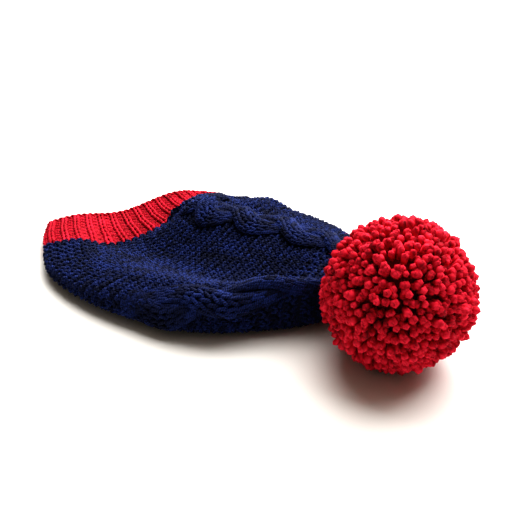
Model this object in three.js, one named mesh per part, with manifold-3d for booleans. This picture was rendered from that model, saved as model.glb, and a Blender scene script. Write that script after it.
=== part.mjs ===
// A hand-knitted slouchy beanie with a pompom, lying flat on its side on a level surface.
// Millimetres, +Z up, +X from the brim to the pompom, origin on the surface below the middle.
// The hat is one flattened tube of knitting: a ribbed band, then a wider crown that is gathered to
// a small hole, where a tie of yarn holds the pompom. A point on the tube is given by its row in
// the section table and by its share of the way round, counted in stitches from the front cable.
import * as THREE from 'three';
import { mergeVertices } from 'three/addons/utils/BufferGeometryUtils.js';
import Module from 'manifold-3d';

const wasm = await Module();
wasm.setup();

// Knitting
const STITCHES_ROUND = 72;
const CABLES = 3;
const CABLE_STITCHES = 8;
const CABLE_CROSSING = 43; // along the hat, from one crossing of the two strands to the next
const CABLE_RISE = 5; // the strands stand this much above the plain knitting
const CROSSING_RISE = 2.5; // and the strand on top at a crossing this much more
const CABLE_START = [[105, 145], [5, 45]]; // the two cables rise between these distances from the band
const CABLE_END = [34, 8]; // and sink back into the plain knitting between these two distances to the end
const CROWN_WALL = 5;
const BAND_WALL = 4.2;
const RIBS_ROUND = 38;
const RIB_GROOVE = 2;
const GAP = 0.3; // between two pieces that touch
const CROWN_START = 1.3; // from the band's end row to the crown's first stitches

// Lip: beyond the ridge and at the back fold the full crown slouches back over the band
const LIP_LAP = 17; // how far back along the band it reaches
const LIP_RISE = 4.5; // how far it stands off the hat's own surface
const LIP_CLEAR = 2.5; // between the lip's underside and the band
const LIP_LENGTH = 24; // of the crown's start that goes into the lip
const LIP_SKEW = 0.6; // below 1, the lip turns back early and comes forward slowly
const LIP_STEPS = [0, 0.06, 0.18, 0.36, 0.6, 0.82]; // shares of its length that have a mesh ring

// Gathered end and pompom
const HOLE_CENTRE = new THREE.Vector3(97, 16.5, 26);
const HOLE_RADIUS = 3.3;
const PLEAT_DEPTH = 2.2; // the gathers before the hole
const PLEAT_LENGTH = 30;
const PLEAT_COLUMNS = 3;
const POMPOM_CENTRE = new THREE.Vector3(139.5, 5.5, 49);
const POMPOM_RADIUS = 51;
const LOCK_DEPTH = 5.5; // from a lock's crown to the groove beside it
const LOCK_UNEVEN = 1.6; // how much a lock may fall short or stand out
const LOCK_GRID = 4; // locks along an edge of the icosahedron that they are set out on
const POINTS_PER_LOCK = 3;
const LOCK_CYCLE = 2.4; // steps the locks through long and short ones
const TIE_RADIUS = HOLE_RADIUS - GAP;
const TIE_IN_POMPOM = 14;
const TIE_SIDES = 12;
const KNOT_RADIUS = 6;

// Mesh steps
const POINTS_PER_RIB = 4;
const FINE_COLUMN = 2 / 3; // stitches between mesh columns on a cable that shows and at the back fold
const PLAIN_COLUMN = 1.8; // and elsewhere
const FOLD_TURN = 0.5; // the back fold's mesh is fine within this angle of its outermost line
const BODY_STEP = 8;
const LINING_STEP = 20;
const BAND_STEPS = 5;
const BAND_LINING_STEPS = 3;

// Sections from the brim to the gathered end, a row each.
// front, back: plan positions [x, y] of the two side folds; bow: how far the middle runs ahead.
// roll, valley, ridge, strip: heights of the top layer from the front fold to the back fold, with
// the valley and the ridge at valleyAt and ridgeAt (-1 front fold, 1 back fold).
// frontMid, backMid: heights of the folds' outermost points; under: height of the lower layer.
// frontCable: degrees round the front fold, upwards, where the front cable runs.
const SECTIONS = [
  { name: 'brim', front: [-190, -59.5], back: [-114, 92.5], bow: 0, roll: 19, valley: 14, ridge: 27,
    strip: 23, valleyAt: -0.25, ridgeAt: 0.5, frontMid: 9, backMid: 10, under: 0, frontCable: -8 },
  { name: 'mid_band', front: [-173.5, -73.5], back: [-93, 88.5], bow: 5, roll: 19, valley: 12, ridge: 28,
    strip: 23, valleyAt: -0.3, ridgeAt: 0.52, frontMid: 9, backMid: 10, under: 0, frontCable: -8 },
  { name: 'band_end', front: [-155, -84.5], back: [-74, 86.5], bow: 14, roll: 20, valley: 10, ridge: 32,
    strip: 24, valleyAt: -0.4, ridgeAt: 0.55, frontMid: 8, backMid: 11, under: 0, frontCable: -8 },
  { name: 'full_start', front: [-118, -103.5], back: [-59, 99.5], bow: 9, roll: 21, valley: 14, ridge: 41,
    strip: 26, valleyAt: -0.34, ridgeAt: 0.32, frontMid: 9, backMid: 12, under: 0, frontCable: -6 },
  { name: 'fullest', front: [-73, -107.5], back: [-38, 105.5], bow: 4, roll: 27, valley: 18, ridge: 43,
    strip: 27, valleyAt: -0.32, ridgeAt: 0.22, frontMid: 10, backMid: 12, under: 0, frontCable: -2 },
  { name: 'middle', front: [-27, -100.5], back: [-7, 107.5], bow: 0, roll: 34, valley: 21, ridge: 43,
    strip: 28, valleyAt: -0.36, ridgeAt: 0.28, frontMid: 11, backMid: 12, under: 0, frontCable: 8 },
  { name: 'taper', front: [20, -83.5], back: [26, 100.5], bow: 0, roll: 40, valley: 26, ridge: 43,
    strip: 31, valleyAt: -0.38, ridgeAt: 0.34, frontMid: 12, backMid: 13, under: 0, frontCable: 20 },
  { name: 'shoulder', front: [50, -57.5], back: [56, 85.5], bow: 0, roll: 47, valley: 31, ridge: 43,
    strip: 35, valleyAt: -0.36, ridgeAt: 0.38, frontMid: 14, backMid: 14, under: 0, frontCable: 28 },
  { name: 'closing', front: [74, -27.5], back: [80, 60.5], bow: 0, roll: 48, valley: 36, ridge: 41,
    strip: 38, valleyAt: -0.3, ridgeAt: 0.4, frontMid: 18, backMid: 18, under: 1, frontCable: 32 },
  { name: 'gather', front: [91, -1.5], back: [93, 36.5], bow: 0, roll: 40, valley: 39, ridge: 40,
    strip: 38, valleyAt: -0.1, ridgeAt: 0.4, frontMid: 23, backMid: 23, under: 8, frontCable: 32 },
];
const BAND_END = 2; // row where the band meets the crown
const LAST_ROW = SECTIONS.length - 1;
const ROLL_AT = -0.74; // the front roll's crest, between the folds as above
const STRIP_FROM_RIDGE = 0.4; // the strip beyond the ridge starts this much further on
const TOP_ROUNDNESS = 0.5;
const UNDER_ROUNDNESS = 0.55;
const FLAT_UNDER = 0.8; // the lower layer lies flat where the sine of the angle round passes this
const PRESSED_FLAT = -0.3; // below this sine the cables are pressed flat

const TURN = 2 * Math.PI;
const clamp = THREE.MathUtils.clamp;
const lerp = THREE.MathUtils.lerp;
const smooth = THREE.MathUtils.smoothstep;

// One column of the table at a row between the whole ones, by a Catmull-Rom curve.
function column(read, row) {
  const start = clamp(Math.floor(row), 0, LAST_ROW - 1);
  const t = row - start;
  const at = (i) => {
    if (i < 0) return 2 * read(SECTIONS[0]) - read(SECTIONS[1]);
    if (i > LAST_ROW) return 2 * read(SECTIONS[LAST_ROW]) - read(SECTIONS[LAST_ROW - 1]);
    return read(SECTIONS[i]);
  };
  const [a, b, c, d] = [at(start - 1), at(start), at(start + 1), at(start + 2)];
  const line = 2 * b + (c - a) * t;
  const bend = (2 * a - 5 * b + 4 * c - d) * t * t;
  return (line + bend + (3 * b - a - 3 * c + d) * t * t * t) / 2;
}

const sectionCache = new Map();

function section(row) {
  if (!sectionCache.has(row)) {
    const values = {};
    for (const key of Object.keys(SECTIONS[0])) {
      if (key === 'name') continue;
      values[key] = Array.isArray(SECTIONS[0][key])
        ? [column((s) => s[key][0], row), column((s) => s[key][1], row)]
        : column((s) => s[key], row);
    }
    sectionCache.set(row, values);
  }
  return sectionCache.get(row);
}

// Height of the top layer between the folds: roll, valley, ridge and strip joined by smooth steps.
function topHeight(s, across) {
  if (across < s.valleyAt) return lerp(s.roll, s.valley, smooth(across, ROLL_AT, s.valleyAt));
  if (across < s.ridgeAt) return lerp(s.valley, s.ridge, smooth(across, s.valleyAt, s.ridgeAt));
  return lerp(s.ridge, s.strip, smooth(across, s.ridgeAt, s.ridgeAt + STRIP_FROM_RIDGE));
}

// The hat's plain outer surface. The angle round is 0 at the front fold, pi at the back fold.
function surfacePoint(row, angle) {
  const s = section(row);
  const across = -Math.cos(angle);
  const sine = Math.sin(angle);
  const share = (across + 1) / 2;
  const width = Math.hypot(s.back[0] - s.front[0], s.back[1] - s.front[1]);
  const ahead = s.bow * (1 - across * across);
  const x = lerp(s.front[0], s.back[0], share) + ahead * (s.back[1] - s.front[1]) / width;
  const y = lerp(s.front[1], s.back[1], share) - ahead * (s.back[0] - s.front[0]) / width;
  const middle = lerp(s.frontMid, s.backMid, share);
  if (sine >= 0) {
    return new THREE.Vector3(x, y, lerp(middle, topHeight(s, across), sine ** TOP_ROUNDNESS));
  }
  const down = Math.min(1, (-sine / FLAT_UNDER) ** UNDER_ROUNDNESS);
  return new THREE.Vector3(x, y, lerp(middle, s.under, down));
}

function surfaceNormal(row, angle) {
  const step = 1e-3;
  const before = clamp(row - step, 0, LAST_ROW - step);
  const along = surfacePoint(before + step, angle).sub(surfacePoint(before, angle));
  const round = surfacePoint(row, angle + step).sub(surfacePoint(row, angle - step));
  return along.cross(round).normalize();
}

// Lengths measured round a section from the front fold, at angles set closer near the two folds.
const HALF_SAMPLES = 90;
const girthCache = new Map();

function girth(row) {
  if (!girthCache.has(row)) {
    const angles = [];
    const lengths = [0];
    for (let i = 0; i <= 2 * HALF_SAMPLES; i++) {
      const half = Math.floor(i / HALF_SAMPLES);
      const t = (i % HALF_SAMPLES) / HALF_SAMPLES;
      angles.push(Math.PI * (half + (1 - Math.cos(Math.PI * t)) / 2));
    }
    for (let i = 1; i < angles.length; i++) {
      const step = surfacePoint(row, angles[i]).distanceTo(surfacePoint(row, angles[i - 1]));
      lengths.push(lengths[i - 1] + step);
    }
    girthCache.set(row, { angles, lengths, total: lengths[lengths.length - 1] });
  }
  return girthCache.get(row);
}

function interpolate(from, to, value) {
  let i = 1;
  while (i < from.length - 1 && from[i] < value) i++;
  const t = (value - from[i - 1]) / (from[i] - from[i - 1]);
  return lerp(to[i - 1], to[i], t);
}

// The angle round at a share of the stitches: the front cable is at 0, the top cable at 1 / CABLES.
function angleAt(row, share) {
  const s = section(row);
  const { angles, lengths, total } = girth(row);
  const cableAngle = THREE.MathUtils.degToRad(s.frontCable);
  const frontCable = cableAngle >= 0
    ? interpolate(angles, lengths, cableAngle)
    : interpolate(angles, lengths, TURN + cableAngle) - total;
  const topCable = interpolate(angles, lengths, Math.acos(-s.ridgeAt));
  const first = 1 / CABLES;
  const length = share < first
    ? lerp(frontCable, topCable, share / first)
    : lerp(topCable, frontCable + total, (share - first) / (1 - first));
  return interpolate(lengths, angles, (length + total) % total);
}

function hatPoint(row, angle, out) {
  const point = surfacePoint(row, angle).addScaledVector(surfaceNormal(row, angle), out);
  return point.setZ(Math.max(point.z, 0));
}

// Distance along the hat's middle from the band's end to each row, negative on the band.
const rowDistance = SECTIONS.map(() => 0);
for (let i = 1; i <= LAST_ROW; i++) {
  const middle = (s) => new THREE.Vector2((s.front[0] + s.back[0]) / 2, (s.front[1] + s.back[1]) / 2);
  rowDistance[i] = rowDistance[i - 1] + middle(SECTIONS[i]).distanceTo(middle(SECTIONS[i - 1]));
}
const bandLength = rowDistance[BAND_END];
const crownLength = rowDistance[LAST_ROW] - bandLength;

function rowAt(distance) {
  return interpolate(rowDistance, SECTIONS.map((s, i) => i), distance + bandLength);
}

// How far the two crossed strands of a cable stand out, at a place on the crown.
function cableRise(distance, share) {
  let rise = 0;
  for (let cable = 0; cable < CABLES - 1; cable++) {
    const begun = smooth(distance, ...CABLE_START[cable]);
    const away = share - cable / CABLES;
    const stitches = (away - Math.round(away)) * STITCHES_ROUND;
    for (const side of [0, Math.PI]) {
      const phase = Math.PI * (distance / CABLE_CROSSING + cable / 2) + side;
      const offset = (stitches - CABLE_STITCHES / 4 * Math.cos(phase)) / (CABLE_STITCHES / 4);
      const strand = CABLE_RISE + CROSSING_RISE * Math.sin(phase);
      rise = Math.max(rise, begun * strand * Math.sqrt(Math.max(0, 1 - offset * offset)));
    }
  }
  const sunk = smooth(distance, crownLength - CABLE_END[0], crownLength - CABLE_END[1]);
  return rise * (1 - sunk);
}

// 1 where the lip laps back over the band, 0 where the crown starts flush with it.
function lipShare(angle) {
  const across = -Math.cos(angle);
  return Math.sin(angle) >= 0 ? smooth(across, 0.05, 0.5) : smooth(across, 0.9, 1);
}

// A closed body from rings of equally many points: each ring is joined to the next, and the last
// to the first.
function closedRings(rings) {
  const count = rings[0].length;
  const positions = rings.flat().flatMap((p) => [p.x, p.y, p.z]);
  const index = [];
  rings.forEach((ring, i) => {
    const next = (i + 1) % rings.length;
    for (let j = 0; j < count; j++) {
      const k = (j + 1) % count;
      const [a, b, c, d] = [i * count + j, i * count + k, next * count + k, next * count + j];
      index.push(a, c, b, a, d, c);
    }
  });
  const geometry = new THREE.BufferGeometry();
  geometry.setAttribute('position', new THREE.Float32BufferAttribute(positions, 3));
  geometry.setIndex(index);
  geometry.computeVertexNormals();
  return geometry;
}

// Band: knit 1, purl 1 rib, so the grooves outside are the crests inside.
function bandGeometry() {
  const columns = RIBS_ROUND * POINTS_PER_RIB;
  const ring = (row, inner) => Array.from({ length: columns }, (_, i) => {
    const groove = RIB_GROOVE * (1 - Math.cos(TURN * i / POINTS_PER_RIB)) / 2;
    return hatPoint(row, angleAt(row, i / columns), -groove - (inner ? BAND_WALL : 0));
  });
  const end = rowAt(-GAP);
  const rings = [];
  for (let i = 0; i <= BAND_STEPS; i++) rings.push(ring(end * i / BAND_STEPS, false));
  for (let i = BAND_LINING_STEPS; i >= 0; i--) rings.push(ring(end * i / BAND_LINING_STEPS, true));
  return closedRings(rings);
}

// Shares of the stitches at which the crown has mesh columns, from the front cable's lower edge.
function crownColumns() {
  const shares = [];
  const edge = CABLE_STITCHES / 2 + 1;
  const spacing = STITCHES_ROUND / CABLES;
  let stitch = -edge;
  while (stitch < STITCHES_ROUND - edge - FINE_COLUMN / 2) {
    const share = (stitch / STITCHES_ROUND + 1) % 1;
    shares.push(share);
    const onCable = stitch < edge || Math.abs(stitch - spacing) < edge;
    const onFold = Math.abs(angleAt(BAND_END, share) - Math.PI) < FOLD_TURN;
    stitch += onCable || onFold ? FINE_COLUMN : PLAIN_COLUMN;
  }
  return shares;
}

function crownGeometry() {
  const shares = crownColumns();

  const outerRing = (distance) => shares.map((share, i) => {
    const start = rowAt(distance);
    const lip = lipShare(angleAt(start, share));
    const t = clamp((distance - CROWN_START) / LIP_LENGTH, 0, 1);
    const row = rowAt(distance - lip * LIP_LAP * Math.sin(Math.PI * t ** LIP_SKEW));
    const rise = LIP_CLEAR * smooth(lip, 0, 0.15) + LIP_RISE * lip * smooth(t, 0.15, 0.85);
    const settle = 1 - smooth(distance, LIP_LENGTH, 3 * LIP_LENGTH);
    const pleated = i % PLEAT_COLUMNS === 0 ? smooth(distance, crownLength - PLEAT_LENGTH, crownLength) : 0;
    const angle = angleAt(row, share);
    const raised = Math.sin(angle) > PRESSED_FLAT ? cableRise(distance, share) : 0;
    return hatPoint(row, angle, raised - PLEAT_DEPTH * pleated + rise * settle);
  });
  const innerRing = (distance) => shares.map((share) => {
    const row = rowAt(distance);
    return hatPoint(row, angleAt(row, share), -CROWN_WALL);
  });

  const axis = POMPOM_CENTRE.clone().sub(HOLE_CENTRE).normalize();
  const gathered = (ring, radiusShare, ahead) => ring.map((point) => {
    const spoke = point.clone().sub(HOLE_CENTRE);
    spoke.addScaledVector(axis, -spoke.dot(axis));
    const radius = lerp(HOLE_RADIUS, spoke.length(), radiusShare);
    return HOLE_CENTRE.clone().addScaledVector(axis, ahead).addScaledVector(spoke.normalize(), radius);
  });

  const rings = [];
  for (const t of LIP_STEPS) rings.push(outerRing(CROWN_START + t * LIP_LENGTH));
  const steps = Math.round((crownLength - LIP_LENGTH) / BODY_STEP);
  for (let i = 0; i <= steps; i++) rings.push(outerRing(lerp(LIP_LENGTH, crownLength, i / steps)));
  const lastOuter = rings[rings.length - 1];
  rings.push(gathered(lastOuter, 0.5, 1.5));
  rings.push(gathered(lastOuter, 0, 0));

  const liningEnd = crownLength - 1;
  const lastInner = innerRing(liningEnd);
  rings.push(gathered(lastInner, 0, -CROWN_WALL));
  rings.push(gathered(lastInner, 0.6, -CROWN_WALL));
  const liningSteps = Math.round(liningEnd / LINING_STEP);
  for (let i = liningSteps; i >= 0; i--) rings.push(innerRing(lerp(CROWN_START, liningEnd, i / liningSteps)));
  return closedRings(rings);
}

// Pompom: locks of cut yarn standing on a round head, all one body, pressed flat where it lies.
function toSolid(geometry) {
  const bare = geometry.clone();
  bare.deleteAttribute('normal');
  bare.deleteAttribute('uv');
  const merged = mergeVertices(bare);
  const mesh = new wasm.Mesh({
    numProp: 3,
    vertProperties: new Float32Array(merged.attributes.position.array),
    triVerts: new Uint32Array(merged.index.array),
  });
  return new wasm.Manifold(mesh);
}

function fromSolid(solid) {
  const mesh = solid.getMesh();
  const geometry = new THREE.BufferGeometry();
  geometry.setAttribute('position', new THREE.BufferAttribute(mesh.vertProperties, 3));
  geometry.setIndex(new THREE.BufferAttribute(mesh.triVerts, 1));
  geometry.computeVertexNormals();
  return geometry;
}

// A unit ball whose icosahedron edges are split into this many.
function geodesicBall(splits) {
  const ball = new THREE.IcosahedronGeometry(1, splits - 1);
  return mergeVertices(ball.deleteAttribute('uv').deleteAttribute('normal'));
}

function pompomGeometry() {
  const lockCentres = [];
  const coarse = geodesicBall(LOCK_GRID).attributes.position;
  for (let i = 0; i < coarse.count; i++) {
    lockCentres.push(new THREE.Vector3().fromBufferAttribute(coarse, i));
  }
  const lockAngle = Math.sqrt(4 * Math.PI / lockCentres.length) / 2;
  const ball = geodesicBall(LOCK_GRID * POINTS_PER_LOCK);
  const position = ball.attributes.position;
  for (let i = 0; i < position.count; i++) {
    const direction = new THREE.Vector3().fromBufferAttribute(position, i);
    let nearest = 0;
    lockCentres.forEach((centre, k) => {
      if (centre.dot(direction) > lockCentres[nearest].dot(direction)) nearest = k;
    });
    const away = Math.acos(Math.min(1, lockCentres[nearest].dot(direction))) / lockAngle;
    const uneven = LOCK_UNEVEN * (Math.sin(nearest * LOCK_CYCLE) - 1);
    const radius = POMPOM_RADIUS + uneven - LOCK_DEPTH * Math.min(1, away * away);
    const point = direction.multiplyScalar(radius).add(POMPOM_CENTRE);
    position.setXYZ(i, point.x, point.y, Math.max(point.z, 0));
  }
  return ball;
}

// Tie: one plain length of yarn from a knot inside the crown to a pit in the pompom.
function alongTie(geometry) {
  const axis = POMPOM_CENTRE.clone().sub(HOLE_CENTRE).normalize();
  const turn = new THREE.Quaternion().setFromUnitVectors(new THREE.Vector3(0, 1, 0), axis);
  return geometry.applyQuaternion(turn).translate(...HOLE_CENTRE.toArray());
}

const tieReach = POMPOM_CENTRE.distanceTo(HOLE_CENTRE) - POMPOM_RADIUS + TIE_IN_POMPOM;

function pitGeometry() {
  const length = CROWN_WALL + tieReach + GAP;
  const cylinder = new THREE.CylinderGeometry(HOLE_RADIUS, HOLE_RADIUS, length, TIE_SIDES);
  return alongTie(cylinder.translate(0, length / 2 - CROWN_WALL, 0));
}

function tieGeometry() {
  const knotFace = -CROWN_WALL - GAP;
  const knotEnd = KNOT_RADIUS * 0.8;
  const profile = [
    [0, knotFace - KNOT_RADIUS],
    [knotEnd, knotFace - KNOT_RADIUS],
    [KNOT_RADIUS, knotFace - KNOT_RADIUS / 2],
    [knotEnd, knotFace],
    [TIE_RADIUS, knotFace],
    [TIE_RADIUS, tieReach],
    [0, tieReach],
  ];
  const outline = profile.map(([radius, height]) => new THREE.Vector2(radius, height));
  return alongTie(new THREE.LatheGeometry(outline, TIE_SIDES));
}

function yarn(colour) {
  return new THREE.MeshStandardMaterial({ color: colour, roughness: 0.95, metalness: 0 });
}

function piece(name, geometry, colour) {
  const mesh = new THREE.Mesh(geometry, yarn(colour));
  mesh.name = name;
  return mesh;
}

const RED = '#b3122a';
const BRIGHT_RED = '#bd0d24';
const NAVY = '#1f2a5c';

const beanie = new THREE.Group();
beanie.add(piece('rib_band', bandGeometry(), RED));
beanie.add(piece('crown', crownGeometry(), NAVY));
const hollowedPompom = toSolid(pompomGeometry()).subtract(toSolid(pitGeometry()));
beanie.add(piece('pompom', fromSolid(hollowedPompom), BRIGHT_RED));
beanie.add(piece('pompom_tie', tieGeometry(), RED));

export default beanie;
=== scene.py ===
"""A hand-knitted slouchy beanie with a pompom, lying flat on its side.

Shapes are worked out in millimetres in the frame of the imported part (+X from the brim to the
pompom, +Z up) and turned to metres as each mesh is made. The hat is one flattened tube of
knitting. A place on it is given by how far along it is and by its share of the way round, and
every stitch of the band, the crown and the cables is a loop of yarn laid out on that tube.
"""

import math
import bpy
import numpy as np
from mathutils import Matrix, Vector


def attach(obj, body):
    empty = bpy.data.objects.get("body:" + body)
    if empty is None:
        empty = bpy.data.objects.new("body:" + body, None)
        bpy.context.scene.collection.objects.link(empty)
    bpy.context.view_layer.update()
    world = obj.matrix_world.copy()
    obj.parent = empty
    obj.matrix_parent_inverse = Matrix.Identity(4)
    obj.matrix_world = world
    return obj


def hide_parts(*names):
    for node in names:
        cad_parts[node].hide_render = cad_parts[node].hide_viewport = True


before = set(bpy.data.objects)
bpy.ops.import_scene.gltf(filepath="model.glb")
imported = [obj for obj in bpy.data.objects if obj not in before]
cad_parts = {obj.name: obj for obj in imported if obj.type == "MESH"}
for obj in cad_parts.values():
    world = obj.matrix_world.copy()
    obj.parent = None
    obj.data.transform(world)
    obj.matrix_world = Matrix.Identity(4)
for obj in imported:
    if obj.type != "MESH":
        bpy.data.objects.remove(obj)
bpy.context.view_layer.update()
seeded = np.random.default_rng(20)
TURN = 2 * math.pi
MM_PER_METRE = 1000

# ---------------------------------------------------------------- sizes, in millimetres
STITCHES_ROUND = 72
CROWN_COURSES = 36
NARROW_COURSES = 6  # of the crown's courses, those next to the gathered end, decreased to half
CABLES = 3
CABLE_STITCHES = 8  # the stitches of the plain knitting that a cable takes up
CABLE_CROSSING = 43  # along the hat, from one crossing of a cable's strands to the next
CABLE_RISE = 5  # the strands stand this much above the plain knitting
CROSSING_RISE = 2.5  # and the one on top where they cross by this much more
CABLE_START = ((105, 145), (5, 45), (5, 45))  # where each cable rises, from the band's end
CABLE_END = (34, 8)  # where the cables sink back, from the gathered end
RIBS_ROUND = 38
BAND_COURSES = 9
LIP_LAP = 17  # the crown's start runs back over the band by this much
LIP_CLEAR = 2.5  # above it by this much
LIP_RISE = 4.5  # and by this much more where it has come forward again
LIP_LENGTH = 24  # along the crown, the part that goes back and forward again
LIP_SKEW = 0.6  # below 1, the fold lies nearer the crown's start
LIP_CLEARS = (0, 0.15)  # it is fully clear from this share of a full lap on
LIP_RISES = (0.15, 0.85)  # of its length, where that rise starts and ends
LIP_ON_TOP = (0.05, 0.5)  # across the top layer, where the lip starts and where it is full
LIP_UNDER = (0.9, 1)  # the same on the lower layer
CROWN_START = 1.3  # from the band's end
HOLE_CENTRE = np.array([97.0, 16.5, 26.0])
HOLE_RADIUS = 3.3
POMPOM_CENTRE = np.array([139.5, 5.5, 49.0])
POMPOM_RADIUS = 51.0
YARN_RADIUS = 1.3
FULL_STITCH = 5.2  # a stitch this wide shows the yarn at its full radius
YARN_SHARE = (0.4, 1.12)  # the least and the most of its radius that squeezed and slack yarn has

# The hat's sections from the brim to the gathered end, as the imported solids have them: the two
# side folds in plan, how far the middle runs ahead, the heights of the top layer's roll, valley,
# ridge and strip, where valley and ridge lie (-1 front fold, 1 back fold), the folds' heights,
# the lower layer's height, and the front cable's degrees round the front fold.
SECTION_COLUMNS = (
    "front_x", "front_y", "back_x", "back_y", "bow", "roll", "valley", "ridge", "strip",
    "valley_at", "ridge_at", "front_mid", "back_mid", "under", "front_cable",
)
SECTIONS = np.array([
    (-190, -59.5, -114, 92.5, 0, 19, 14, 27, 23, -0.25, 0.5, 9, 10, 0, -8),
    (-173.5, -73.5, -93, 88.5, 5, 19, 12, 28, 23, -0.3, 0.52, 9, 10, 0, -8),
    (-155, -84.5, -74, 86.5, 14, 20, 10, 32, 24, -0.4, 0.55, 8, 11, 0, -8),
    (-118, -103.5, -59, 99.5, 9, 21, 14, 41, 26, -0.34, 0.32, 9, 12, 0, -6),
    (-73, -107.5, -38, 105.5, 4, 27, 18, 43, 27, -0.32, 0.22, 10, 12, 0, -2),
    (-27, -100.5, -7, 107.5, 0, 34, 21, 43, 28, -0.36, 0.28, 11, 12, 0, 8),
    (20, -83.5, 26, 100.5, 0, 40, 26, 43, 31, -0.38, 0.34, 12, 13, 0, 20),
    (50, -57.5, 56, 85.5, 0, 47, 31, 43, 35, -0.36, 0.38, 14, 14, 0, 28),
    (74, -27.5, 80, 60.5, 0, 48, 36, 41, 38, -0.3, 0.4, 18, 18, 1, 32),
    (91, -1.5, 93, 36.5, 0, 40, 39, 40, 38, -0.1, 0.4, 23, 23, 8, 32),
], dtype=float)
BAND_END = 2  # the row where the band meets the crown
LAST_ROW = len(SECTIONS) - 1
ROLL_AT = -0.74  # across the hat, where the front roll starts to fall to the valley
STRIP_FROM_RIDGE = 0.4  # across the hat, from the ridge to the level strip behind it
TOP_ROUNDNESS = 0.5
UNDER_ROUNDNESS = 0.55
FLAT_UNDER = 0.8  # the lower layer lies flat where the sine of the angle is past this


def smooth(x, low, high):
    """0 below low, 1 above high, and a smooth step t*t*(3 - 2t) between them."""
    t = np.clip((x - low) / (high - low), 0, 1)
    return t * t * (3 - 2 * t)


def mix(a, b, t):
    """a where t is 0, b where t is 1, and a + (b - a) * t between them."""
    return a + (b - a) * t


def unit(v):
    """Each vector divided by its own length."""
    return v / np.maximum(np.linalg.norm(v, axis=-1, keepdims=True), 1e-9)


# ---------------------------------------------------------------- the hat's surface
def section(row):
    """The table's columns at any rows, as a dict of arrays, by Catmull-Rom curves: between rows b
    and c, with a before and d after them, (2b + (c - a) t + (2a - 5b + 4c - d) t squared +
    (3b - a - 3c + d) t cubed) / 2."""
    ends = 2 * SECTIONS[0] - SECTIONS[1], 2 * SECTIONS[-1] - SECTIONS[-2]
    table = np.vstack([ends[0], SECTIONS, ends[1]])
    start = np.clip(np.floor(row).astype(int), 0, LAST_ROW - 1)
    t = (row - start)[..., None]
    a, b, c, d = (table[start + i] for i in range(4))
    bend = (2 * a - 5 * b + 4 * c - d) * t * t
    values = (2 * b + (c - a) * t + bend + (3 * b - a - 3 * c + d) * t**3) / 2
    return {name: values[..., i] for i, name in enumerate(SECTION_COLUMNS)}


def hat_surface(row, angle):
    """The plain outer surface: across the hat, the two folds' plan points are joined by a line
    that bows ahead. The top layer rises from the folds as sine to the power 0.5 to the heights
    roll, valley, ridge and strip, and the lower layer falls to the floor the same way."""
    row, angle = np.broadcast_arrays(row, angle)
    s = section(row)
    across, sine = -np.cos(angle), np.sin(angle)
    share = (across + 1) / 2
    wide_x, wide_y = s["back_x"] - s["front_x"], s["back_y"] - s["front_y"]
    ahead = s["bow"] * (1 - across**2) / np.hypot(wide_x, wide_y)
    x = s["front_x"] + wide_x * share + ahead * wide_y
    y = s["front_y"] + wide_y * share - ahead * wide_x
    top = mix(s["roll"], s["valley"], smooth(across, ROLL_AT, s["valley_at"]))
    top = mix(top, s["ridge"], smooth(across, s["valley_at"], s["ridge_at"]))
    top = mix(top, s["strip"], smooth(across, s["ridge_at"], s["ridge_at"] + STRIP_FROM_RIDGE))
    middle = mix(s["front_mid"], s["back_mid"], share)
    up = np.maximum(sine, 0) ** TOP_ROUNDNESS
    down = np.minimum(1, (np.maximum(-sine, 0) / FLAT_UNDER) ** UNDER_ROUNDNESS)
    z = np.where(sine >= 0, mix(middle, top, up), mix(middle, s["under"], down))
    return np.stack([x, y, z], axis=-1)


def hat_normal(row, angle):
    """Outward unit normal: the cross product of a small step along and one round."""
    step = 1e-3
    before = np.clip(row - step, 0, LAST_ROW - step)
    along = hat_surface(before + step, angle) - hat_surface(before, angle)
    round_ = hat_surface(row, angle + step) - hat_surface(row, angle - step)
    return unit(np.cross(along, round_))


middles = (SECTIONS[:, 0:2] + SECTIONS[:, 2:4]) / 2
row_distance = np.concatenate([[0], np.cumsum(np.linalg.norm(np.diff(middles, axis=0), axis=1))])
band_length = row_distance[BAND_END]
crown_length = row_distance[-1] - band_length


def row_at(distance):
    """The row at a distance along the hat from the band's end, negative on the band."""
    return np.interp(distance + band_length, row_distance, np.arange(LAST_ROW + 1))


SHARES = np.linspace(0, 1, 721)  # of the way round, counted in stitches from the front cable
TABLE_ROWS = np.linspace(0, LAST_ROW, 361)
HALF_STEPS = 90  # steps round half of a section, closest together at the two folds


def angles_by_share():
    """For each table row and share of the stitches the angle round: lengths are measured round
    the section, the front cable is at share 0 and the top cable, on the ridge, at 1/3."""
    half = np.arange(HALF_STEPS) / HALF_STEPS
    arc = (1 - np.cos(np.pi * half)) / 2
    angles = np.pi * np.concatenate([arc, 1 + arc, [2]])
    points = hat_surface(TABLE_ROWS[:, None], angles[None, :])
    lengths = np.cumsum(np.linalg.norm(np.diff(points, axis=1), axis=-1), axis=1)
    lengths = np.hstack([np.zeros((len(TABLE_ROWS), 1)), lengths])
    s = section(TABLE_ROWS)
    result = np.empty((len(TABLE_ROWS), len(SHARES)))
    for i, length in enumerate(lengths):
        total = length[-1]
        front = np.radians(s["front_cable"][i])
        low = np.interp(front, angles, length) if front >= 0 else (
            np.interp(TURN + front, angles, length) - total)
        top = np.interp(np.arccos(-s["ridge_at"][i]), angles, length)
        place = np.where(SHARES < 1 / CABLES, mix(low, top, SHARES * CABLES),
                         mix(top, low + total, (SHARES - 1 / CABLES) / (1 - 1 / CABLES)))
        result[i] = np.unwrap(np.interp(place % total, length, angles))
    return result


ANGLES = angles_by_share()


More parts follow.
